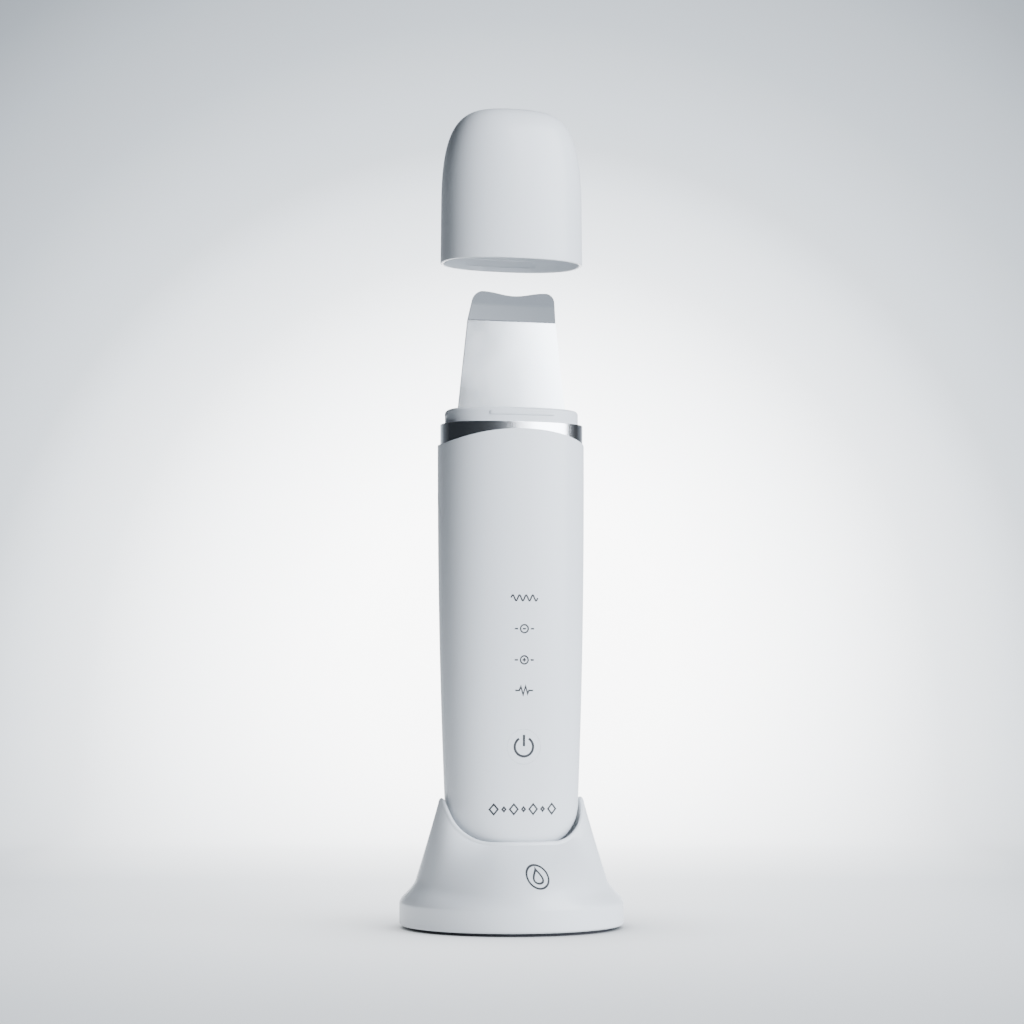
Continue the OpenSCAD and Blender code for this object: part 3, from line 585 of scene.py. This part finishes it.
def pocket_point(t, z):
    pull_w, pull_d = end_in(z, FLOOR_Z, POCKET_END_R), end_in(z, FLOOR_Z, END_DEPTH_R)
    return section(body_w(z) + POCKET_GAP - pull_w, body_d(z) + POCKET_GAP - pull_d, widest_y(z), t)


def lip_height(y):
    return LIP_Z + (HORN_Z - LIP_Z) * np.cos(np.pi / 2 * np.minimum(1, np.abs(y) / LIP_REACH)) ** 2


def lip_points(t):
    _, y = pocket_point(t, LIP_Z + 0 * t)
    z = lip_height(y)
    x, y = pocket_point(t, z)
    return x, y, z


def flare_share(t, s):
    """Share of the foot's radius left: straight horns at the sides and a dome in front and behind."""
    side = 0.74 * (1 - s) + 0.26 * np.cos(np.pi / 2 * np.minimum(1, s / 0.25)) ** 2
    front = 1 - 0.25 * s - 0.75 * s ** 2.2
    return side + (front - side) * np.sin(t) ** 2


def flare_row(t, s):
    """Outside of the flare: s = 0 at the foot's rim and 1 at the lip."""
    lx, ly, lz = lip_points(t)
    g = flare_share(t, s)
    x = lx + LIP_T * np.cos(t)
    y = ly + LIP_T * np.sin(t)
    top = lz - LIP_ROUND
    return np.stack([x + (STAND_R * np.cos(t) - x) * g, y + (STAND_R * np.sin(t) - y) * g,
                     RIM_H + (top - RIM_H) * s], axis=1)


def circle_row(r, z, t):
    return ring(r, r, z, t, 2)


def make_stand():
    t = even_angles(256)
    lx, ly, lz = lip_points(t)
    rows = [ring(17, 13, FLOOR_Z - 2.2, t), ring(23, 20, 17, t), ring(26, 24.5, 14.5, t, 2.2),
            ring(28, 27.5, 12, t, 2), circle_row(29.5, 9, t), circle_row(PLATE_R + 0.1, 6, t),
            circle_row(PLATE_R + 0.1, FOOT_Z, t)]
    edge = 0.7
    for k in range(7):
        a = math.radians(-90 + 90 * k / 6)
        rows.append(circle_row(STAND_R - edge + edge * math.cos(a), FOOT_Z + edge + edge * math.sin(a), t))
    rows += [circle_row(STAND_R, z, t) for z in (3, RIM_H - 1.2, RIM_H - 0.6, RIM_H - 0.3)]
    rows += [flare_row(t, s) for s in np.concatenate([[0.004, 0.012, 0.025], np.linspace(0.045, 1, 44)])]
    for k in range(1, 9):
        a = math.radians(180 * k / 8)
        reach = LIP_T * (1 + math.cos(a)) / 2
        depth = LIP_ROUND if k < 5 else 0.4
        rows.append(np.stack([lx + reach * np.cos(t), ly + reach * np.sin(t),
                              lz - depth + (depth + 0.1) * math.sin(a)], axis=1))
    for s in np.concatenate([np.linspace(0.9, 0.3, 7), np.linspace(0.25, 0.05, 7), [0.025, 0.01, 0]]):
        z = FLOOR_Z + (lz - 0.4 - FLOOR_Z) * s
        x, y = pocket_point(t, z)
        rows.append(np.stack([x, y, z], axis=1))
    skin = loft("stand_skin", rows)
    for x in (-PIN_X, PIN_X):
        cut(skin, prism("hole", circle_outline(x, 0, 1.35, 48), "Z", 16, 24))
    cut(skin, prism("hole", stadium_outline(0, INLET_Z, 4.6, 1.75), "Y", 24, 40))
    smooth(skin)
    return finish_piece(skin, "stand", "stand_plastic", "stand_shell")


# ---------- printed marks ----------

def ribbon(name, strokes, place, width, depth=0.03):
    """Thin closed strips along 2D strokes, laid on a surface by place(u, v, out)."""
    verts, faces = [], []
    for stroke, closed in strokes:
        path = np.array(stroke, float)
        count = len(path)
        leg = np.roll(path, -1, axis=0) - path
        if not closed:
            leg[-1] = leg[-2]
        leg /= np.linalg.norm(leg, axis=1)[:, None]
        back = np.roll(leg, 1, axis=0)
        if not closed:
            back[0] = leg[0]
        along = leg + back
        along /= np.linalg.norm(along, axis=1)[:, None]
        reach = width / 2 / np.maximum(0.35, (along * leg).sum(axis=1))
        side = np.stack([-along[:, 1], along[:, 0]], axis=1) * reach[:, None]
        base = len(verts)
        for p, q in zip(path + side, path - side):
            verts += [place(*p, depth), place(*q, depth), place(*q, -depth), place(*p, -depth)]
        last = count if closed else count - 1
        for k in range(last):
            a, b = base + 4 * k, base + 4 * ((k + 1) % count)
            faces += [(a + i, a + (i + 1) % 4, b + (i + 1) % 4, b + i) for i in range(4)]
        if not closed:
            faces += [tuple(base + i for i in range(4)),
                      tuple(base + 4 * (count - 1) + i for i in range(4))[::-1]]
    return mesh_object(name, verts, faces)


def arc_stroke(cx, cy, r, a0, a1, count=40):
    return [(cx + r * math.cos(math.radians(a)), cy + r * math.sin(math.radians(a)))
            for a in np.linspace(a0, a1, count)]


def line_stroke(x0, y0, x1, y1, count=8):
    return [(x0 + (x1 - x0) * k / (count - 1), y0 + (y1 - y0) * k / (count - 1)) for k in range(count)]


def on_cover(u, v, out):
    return u, float(cover_y(u, v)) - out, v


def on_stand(u, v, out):
    """A place on the front of the flare, u across and v up."""
    t = -math.pi / 2 + u / 27
    for _ in range(6):
        t_arr = np.array([t])
        top = lip_points(t_arr)[2][0] - LIP_ROUND
        point = flare_row(t_arr, (v - RIM_H) / (top - RIM_H))[0]
        t += (u - point[0]) / 27
    centre = np.array([0, 0, v + 6.0])
    normal = point - centre
    normal /= np.linalg.norm(normal)
    return tuple(point + normal * out)


MODE_Z = [95.5, 86.6, 77.6, 68.8]


def framed(z, strokes):
    """A small sign in a ring, between two dashes."""
    ring_stroke = (arc_stroke(0, z, 1.15, 0, 352.5, 48), True)
    dashes = [(line_stroke(side * 1.9, z, side * 2.9, z), False) for side in (-1, 1)]
    sign = [(line_stroke(x0, z + z0, x1, z + z1), False) for x0, z0, x1, z1 in strokes]
    return [ring_stroke] + dashes + sign


def diamond(cx, z, half_w, half_h):
    corners = [(cx + half_w, z), (cx, z + half_h), (cx - half_w, z), (cx, z - half_h)]
    points = []
    for k in range(4):
        points += line_stroke(*corners[k], *corners[(k + 1) % 4], 5)[:-1]
    return points, True


def make_marks():
    sonic, minus, plus, pulse = MODE_Z
    wave_half_w, wave_h, wave_period = 4, 0.8, 2.0
    waves = [([(x, sonic + wave_h * math.sin(2 * math.pi * (x + wave_half_w) / wave_period))
               for x in np.linspace(-wave_half_w, wave_half_w, 97)], False)]
    beat = [(-2.7, 0), (-1.5, 0), (-1.0, 1.1), (-0.3, -1.2), (0.4, 1.2), (1.0, -0.9), (1.4, 0), (2.7, 0)]
    fine = 0.45
    marks = [ribbon("mode_mark_waves", waves, on_cover, fine),
             ribbon("mode_mark_minus", framed(minus, [(-0.5, 0, 0.5, 0)]), on_cover, fine),
             ribbon("mode_mark_plus", framed(plus, [(-0.55, 0, 0.55, 0), (0, -0.55, 0, 0.55)]),
                    on_cover, fine),
             ribbon("mode_mark_pulse", [([(x, pulse + z) for x, z in beat], False)], on_cover, fine)]
    z = 34.7
    ornament = [diamond(x, z, 1.2, 1.45) for x in (-8.7, -2.9, 2.9, 8.7)]
    ornament += [diamond(x, z, 0.5, 0.6) for x in (-5.8, 0, 5.8)]
    marks.append(ribbon("front_ornament", ornament, on_cover, 0.5))
    for mark in marks:
        finish_piece(mark, "handset", "cover_plastic", material="mark_ink")
    r = 2.75
    power = [(arc_stroke(0, BUTTON_Z, r, 90 + 32, 90 + 328, 72), False),
             (line_stroke(0, BUTTON_Z + 0.15, 0, BUTTON_Z + r + 0.7), False)]
    icon = ribbon("power_mark", power, on_cover, 0.7)
    finish_piece(icon, "power_button", "button_plastic", material="mark_ink")
    badge_z, badge_r, drop_r = 16.3, 3.1, 1.9
    drop = []
    for k in range(64):
        a = 2 * math.pi * k / 64
        drop.append((drop_r * math.sin(a) * math.sin(a / 2) ** 1.5, badge_z + 0.15 + drop_r * math.cos(a)))
    frame_ring = arc_stroke(0, badge_z, badge_r, 0, 355, 72)
    badge = ribbon("stand_ornament", [(frame_ring, True), (drop, True)], on_stand, 0.55)
    finish_piece(badge, "stand", "stand_plastic", material="mark_ink")


# ---------- materials ----------

def node_material(name):
    mat = bpy.data.materials.new(name)
    mat.use_nodes = True
    nodes, links = mat.node_tree.nodes, mat.node_tree.links
    return mat, nodes, links, nodes["Principled BSDF"]


def noise(nodes, links, scale, detail=3.0, stretch=(1, 1, 1)):
    """Noise in the object's own metres, with an optional stretch."""
    coords = nodes.new("ShaderNodeTexCoord")
    mapping = nodes.new("ShaderNodeMapping")
    mapping.inputs["Scale"].default_value = stretch
    tex = nodes.new("ShaderNodeTexNoise")
    tex.inputs["Scale"].default_value = scale
    tex.inputs["Detail"].default_value = detail
    links.new(coords.outputs["Object"], mapping.inputs["Vector"])
    links.new(mapping.outputs["Vector"], tex.inputs["Vector"])
    return tex.outputs["Fac"]


def spread(nodes, links, fac, low, high):
    """Maps noise to a narrow range of values."""
    node = nodes.new("ShaderNodeMapRange")
    node.inputs["From Min"].default_value = 0.3
    node.inputs["From Max"].default_value = 0.7
    node.inputs["To Min"].default_value = low
    node.inputs["To Max"].default_value = high
    links.new(fac, node.inputs["Value"])
    return node.outputs["Result"]


def tint(nodes, links, fac, color, change):
    """A colour that drifts by a small share with the noise."""
    mix = nodes.new("ShaderNodeMix")
    mix.data_type = "RGBA"
    mix.inputs[6].default_value = (*[c * (1 - change) for c in color[:3]], 1)
    mix.inputs[7].default_value = (*[min(1, c * (1 + change)) for c in color[:3]], 1)
    links.new(fac, mix.inputs[0])
    return mix.outputs[2]


def bump(nodes, links, bsdf, fac, strength, distance):
    node = nodes.new("ShaderNodeBump")
    node.inputs["Strength"].default_value = strength
    node.inputs["Distance"].default_value = distance
    links.new(fac, node.inputs["Height"])
    links.new(node.outputs["Normal"], bsdf.inputs["Normal"])


def surface(name, color, rough, metallic=0.0, change=0.02, rough_change=0.03, grain=2500.0,
            grain_depth=0.00001, stretch=(1, 1, 1), specular=0.5, coat=0.0):
    """One general finish: drifting colour and roughness, and a fine grain in relief."""
    mat, nodes, links, bsdf = node_material(name)
    bsdf.inputs["Metallic"].default_value = metallic
    bsdf.inputs["Specular IOR Level"].default_value = specular
    bsdf.inputs["Coat Weight"].default_value = coat
    bsdf.inputs["Coat Roughness"].default_value = 0.15
    drift = noise(nodes, links, 35.0)
    links.new(tint(nodes, links, drift, color, change), bsdf.inputs["Base Color"])
    fine = noise(nodes, links, grain, 2.0, stretch)
    links.new(spread(nodes, links, drift, rough - rough_change, rough + rough_change),
              bsdf.inputs["Roughness"])
    if grain_depth:
        bump(nodes, links, bsdf, fine, 0.25, grain_depth)
    return mat


SHELL_WHITE = (0.785, 0.81, 0.84)

CLASS_FINISH = {
    "matte_plastic": dict(rough=0.45),
    "gloss_plastic": dict(rough=0.22, coat=0.3),
    "rubber": dict(rough=0.75, grain=1800.0, grain_depth=0.00003),
    "brushed_steel": dict(rough=0.33, metallic=1.0, grain=900.0, stretch=(1, 1, 12)),
    "aluminium": dict(rough=0.36, metallic=1.0, grain=900.0, stretch=(1, 1, 12)),
    "cast_iron": dict(rough=0.55, metallic=1.0, grain=700.0, grain_depth=0.00004),
    "brass": dict(rough=0.25, metallic=1.0),
    "chrome": dict(rough=0.1, metallic=1.0, grain_depth=0),
    "glass": dict(rough=0.12),
}


def make_materials():
    made = {}
    for entry in frame["record"]["materials"]:
        finish = CLASS_FINISH[entry["class"]]
        made[entry["slot"]] = surface(entry["slot"], entry["base_color"], **finish)
    for slot in ("cover_plastic", "cap_plastic", "stand_plastic", "button_plastic"):
        made[slot] = surface(slot + "_satin", SHELL_WHITE, 0.42, change=0.006, rough_change=0.02,
                             grain=5000.0, grain_depth=0.000004, coat=0.2)
    made["collar_plastic"] = surface("collar_satin", (0.745, 0.77, 0.80), 0.45, change=0.006, grain=5000.0,
                                     grain_depth=0.000004)
    made["band_chrome"] = surface("band_bright", (0.9, 0.91, 0.93), 0.2, metallic=1.0, change=0.01,
                                  rough_change=0.02, grain=400.0, stretch=(1, 1, 30), grain_depth=0.000002)
    made["blade_steel"] = surface("blade_satin", (0.77, 0.79, 0.81), 0.13, metallic=1.0, change=0.015,
                                  rough_change=0.03, grain=500.0, stretch=(1, 1, 14), grain_depth=0.000005)
    made["mark_ink"] = surface("mark_ink", (0.045, 0.047, 0.052), 0.55, change=0.05, specular=0.25,
                               grain_depth=0.000003)
    guide = made["guide_clear"].node_tree.nodes["Principled BSDF"]
    guide.inputs["Transmission Weight"].default_value = 0.9
    return made


MATERIALS = make_materials()


def dress_frame():
    """Every node that stays as it is takes its own slot's finish."""
    slots = {s["node"]: s["material_slot"] for s in frame["record"]["subparts"]}
    for name, obj in frame["nodes"].items():
        obj.data.materials.clear()
        obj.data.materials.append(MATERIALS[slots[name]])


# ---------- stage, light and camera ----------

CAM_AZIMUTH, CAM_DISTANCE, CAM_HEIGHT, CAM_PITCH, CAM_LENS = -16.0, 756.0, 67.2, 4.095, 90.35


def camera_axes():
    a = math.radians(CAM_AZIMUTH)
    right = Vector((math.cos(a), math.sin(a), 0))
    away = Vector((-math.sin(a), math.cos(a), 0))
    return right, away


def make_camera():
    right, away = camera_axes()
    data = bpy.data.cameras.new("camera")
    data.lens, data.sensor_width = CAM_LENS, 36
    data.clip_start, data.clip_end = 0.01, 20
    cam = bpy.data.objects.new("camera", data)
    bpy.context.scene.collection.objects.link(cam)
    cam.location = (right * 0.15 - away * CAM_DISTANCE + Vector((0, 0, CAM_HEIGHT))) * MM
    pitch = math.radians(CAM_PITCH)
    look = away * math.cos(pitch) + Vector((0, 0, math.sin(pitch)))
    cam.rotation_mode = "QUATERNION"
    cam.rotation_quaternion = look.to_track_quat("-Z", "Y")
    bpy.context.scene.camera = cam


def staged(right_mm, away_mm, up_mm):
    right, away = camera_axes()
    return (right * right_mm + away * away_mm + Vector((0, 0, up_mm))) * MM


def area_light(name, place, target, size, power, color=(1, 1, 1)):
    data = bpy.data.lights.new(name, "AREA")
    data.shape, data.size, data.size_y = "RECTANGLE", size[0] * MM, size[1] * MM
    data.energy, data.color = power, color
    lamp = bpy.data.objects.new(name, data)
    bpy.context.scene.collection.objects.link(lamp)
    lamp.location = staged(*place)
    aim = staged(*target) - lamp.location
    lamp.rotation_mode = "QUATERNION"
    lamp.rotation_quaternion = aim.to_track_quat("-Z", "Y")
    return lamp


def make_stage():
    """A floor that curves up into a backdrop, facing the camera."""
    profile = [(-1500.0, 0.0), (-300.0, 0.0), (430.0, 0.0)]
    bend = 300.0
    for k in range(1, 17):
        a = math.radians(90 * k / 16)
        profile.append((430 + bend * math.sin(a), bend * (1 - math.cos(a))))
    profile.append((430 + bend, 2200.0))
    verts, faces = [], []
    for away_mm, up in profile:
        for side in (-2600, -900, 0, 900, 2600):
            verts.append(staged(side, away_mm, up) / MM)
    for k in range(len(profile) - 1):
        for i in range(4):
            a = 5 * k + i
            faces.append((a, a + 1, a + 6, a + 5))
    sweep = mesh_object("stage_sweep", verts, faces)
    for poly in sweep.data.polygons:
        poly.use_smooth = True
    sweep.data.materials.append(stage_material())


def stage_material():
    """Pale paper with painted light: a glow that fades outwards from behind the object and along the floor,
    with painted contact shadow near the object.
    """
    mat, nodes, links, bsdf = node_material("stage_paper")
    bsdf.inputs["Base Color"].default_value = (*PAPER_COLOR, 1)
    bsdf.inputs["Roughness"].default_value = 0.9
    bsdf.inputs["Specular IOR Level"].default_value = 0.0
    coords = nodes.new("ShaderNodeTexCoord")
    turn = nodes.new("ShaderNodeMapping")
    turn.inputs["Rotation"].default_value = (0, 0, -math.radians(CAM_AZIMUTH))
    turn.inputs["Scale"].default_value = (1, 1, 1)
    links.new(coords.outputs["Object"], turn.inputs["Vector"])
    # Across and up, from the glow's centre, with the depth left out
    flat = nodes.new("ShaderNodeMapping")
    spread_m = GLOW_SPREAD * MM
    flat.inputs["Location"].default_value = (0, 0, -GLOW_Z * MM / spread_m)
    flat.inputs["Scale"].default_value = (1 / spread_m, 0, 1 / spread_m)
    links.new(turn.outputs["Vector"], flat.inputs["Vector"])
    ball = nodes.new("ShaderNodeTexGradient")
    ball.gradient_type = "SPHERICAL"
    links.new(flat.outputs["Vector"], ball.inputs["Vector"])
    glow = color_ramp(nodes, links, ball.outputs["Fac"], GLOW_STOPS)
    # Painted falloff of light with depth, from in front of the camera to the backdrop
    depth = nodes.new("ShaderNodeSeparateXYZ")
    links.new(turn.outputs["Vector"], depth.inputs["Vector"])
    share = nodes.new("ShaderNodeMapRange")
    share.inputs["From Min"].default_value = DEPTH_NEAR * MM
    share.inputs["From Max"].default_value = DEPTH_FAR * MM
    links.new(depth.outputs["Y"], share.inputs["Value"])
    fade = color_ramp(nodes, links, share.outputs["Result"], DEPTH_STOPS)
    mix = nodes.new("ShaderNodeMix")
    mix.data_type, mix.blend_type = "RGBA", "MULTIPLY"
    mix.inputs[0].default_value = 1.0
    links.new(glow, mix.inputs[6])
    links.new(fade, mix.inputs[7])
    # Painted shade towards the sides: the glow dims with the angle off the camera's line
    beam = cone_share(nodes, links, depth.outputs["X"], depth.outputs["Y"])
    sides = color_ramp(nodes, links, beam, SIDE_STOPS)
    limit = nodes.new("ShaderNodeMix")
    limit.data_type, limit.blend_type = "RGBA", "MULTIPLY"
    limit.inputs[0].default_value = 1.0
    links.new(mix.outputs[2], limit.inputs[6])
    links.new(sides, limit.inputs[7])
    # Painted contact shadow: ambient occlusion darkens the glow where the object stands close by
    near = nodes.new("ShaderNodeAmbientOcclusion")
    near.samples = 8
    near.inputs["Distance"].default_value = 60 * MM
    painted_shadow_deepen = nodes.new("ShaderNodeMath")
    painted_shadow_deepen.operation = "POWER"
    painted_shadow_deepen.inputs[1].default_value = 1.6
    links.new(near.outputs["AO"], painted_shadow_deepen.inputs[0])
    shade = nodes.new("ShaderNodeMix")
    shade.data_type, shade.blend_type = "RGBA", "MULTIPLY"
    shade.inputs[0].default_value = 1.0
    links.new(limit.outputs[2], shade.inputs[6])
    links.new(painted_shadow_deepen.outputs["Value"], shade.inputs[7])
    links.new(shade.outputs[2], bsdf.inputs["Emission Color"])
    bsdf.inputs["Emission Strength"].default_value = 10.0
    return mat


def math_node(nodes, links, operation, first, second=None):
    """A maths node; each input is a socket or a number."""
    node = nodes.new("ShaderNodeMath")
    node.operation = operation
    for k, value in enumerate((first, second)):
        if isinstance(value, (int, float)):
            node.inputs[k].default_value = value
        elif value is not None:
            links.new(value, node.inputs[k])
    return node.outputs["Value"]


def cone_share(nodes, links, across, away):
    """How far a place is to the side, as a share of its distance along the stage."""
    distance = math_node(nodes, links, "ADD", away, BEAM_START * MM)
    return math_node(nodes, links, "DIVIDE", math_node(nodes, links, "ABSOLUTE", across), distance)


def color_ramp(nodes, links, fac, stops):
    """A colour ramp from (position, (red, green, blue)) stops."""
    node = nodes.new("ShaderNodeValToRGB")
    ramp = node.color_ramp
    ramp.interpolation = "LINEAR"
    while len(ramp.elements) < len(stops):
        ramp.elements.new(0.5)
    for element, (position, color) in zip(ramp.elements, stops):
        element.position = position
        element.color = (*color, 1)
    links.new(fac, node.inputs["Fac"])
    return node.outputs["Color"]


PAPER_COLOR = (0.18, 0.186, 0.195)
BEAM_START = 756.0
GLOW_Z, GLOW_SPREAD = 94.0, 760.0
DEPTH_NEAR, DEPTH_FAR = -900.0, 740.0


def gray(value, cool=0.0):
    return value * (1 - cool), value, value * (1 + cool)


# Radiance is ten times the ramp's value
GLOW_STOPS = [(0.0, gray(0.004, 0.1)), (0.24, gray(0.012, 0.12)), (0.30, gray(0.022, 0.12)),
              (0.383, gray(0.045, 0.12)),
              (0.446, gray(0.075, 0.11)), (0.513, gray(0.1, 0.1)), (0.574, gray(0.142, 0.09)),
              (0.61, gray(0.16, 0.08)), (0.646, gray(0.235, 0.07)), (0.696, gray(0.32, 0.05)),
              (0.772, gray(0.59, 0.03)), (0.847, gray(0.82, 0.01)), (0.886, gray(0.90)), (1.0, gray(0.92))]
DEPTH_STOPS = [(0.0, gray(0.02, 0.05)), (0.25, gray(0.05, 0.05)), (0.305, gray(0.085, 0.05)),
               (0.427, gray(0.142, 0.05)),
               (0.525, gray(0.222, 0.04)), (0.665, gray(0.32, 0.03)), (0.777, gray(0.52, 0.01)),
               (0.90, gray(0.85)), (1.0, gray(1.0))]
SIDE_STOPS = [(0.0, gray(1.0)), (0.21, gray(1.0)), (0.45, gray(0.62)), (1.0, gray(0.5))]


def make_world():
    world = bpy.data.worlds.new("studio")
    world.use_nodes = True
    background = world.node_tree.nodes["Background"]
    background.inputs["Color"].default_value = (0.80, 0.95, 1.12, 1)
    background.inputs["Strength"].default_value = 0.03
    bpy.context.scene.world = world


KEY_COLOR = (0.94, 1.0, 1.08)


def softbox(name, azimuth, width, height, up, radiance, distance=700.0):
    """A rectangular light that faces the object; azimuth is measured from the object's front to +X."""
    turn = math.radians(azimuth - CAM_AZIMUTH)
    power = radiance * math.pi * width * height * MM * MM
    return area_light(name, (distance * math.sin(turn), -distance * math.cos(turn), up), (0, 0, 130),
                      (width, height), power, KEY_COLOR)


def make_lights():
    softbox("key_right", 39.8, 840, 960, 520, 12.5, 900.0)


make_camera()
make_stage()
make_world()
make_lights()
dress_frame()
make_covers()
make_button()
make_band()
make_collar()
make_blade()
make_cap()
make_stand()
make_marks()
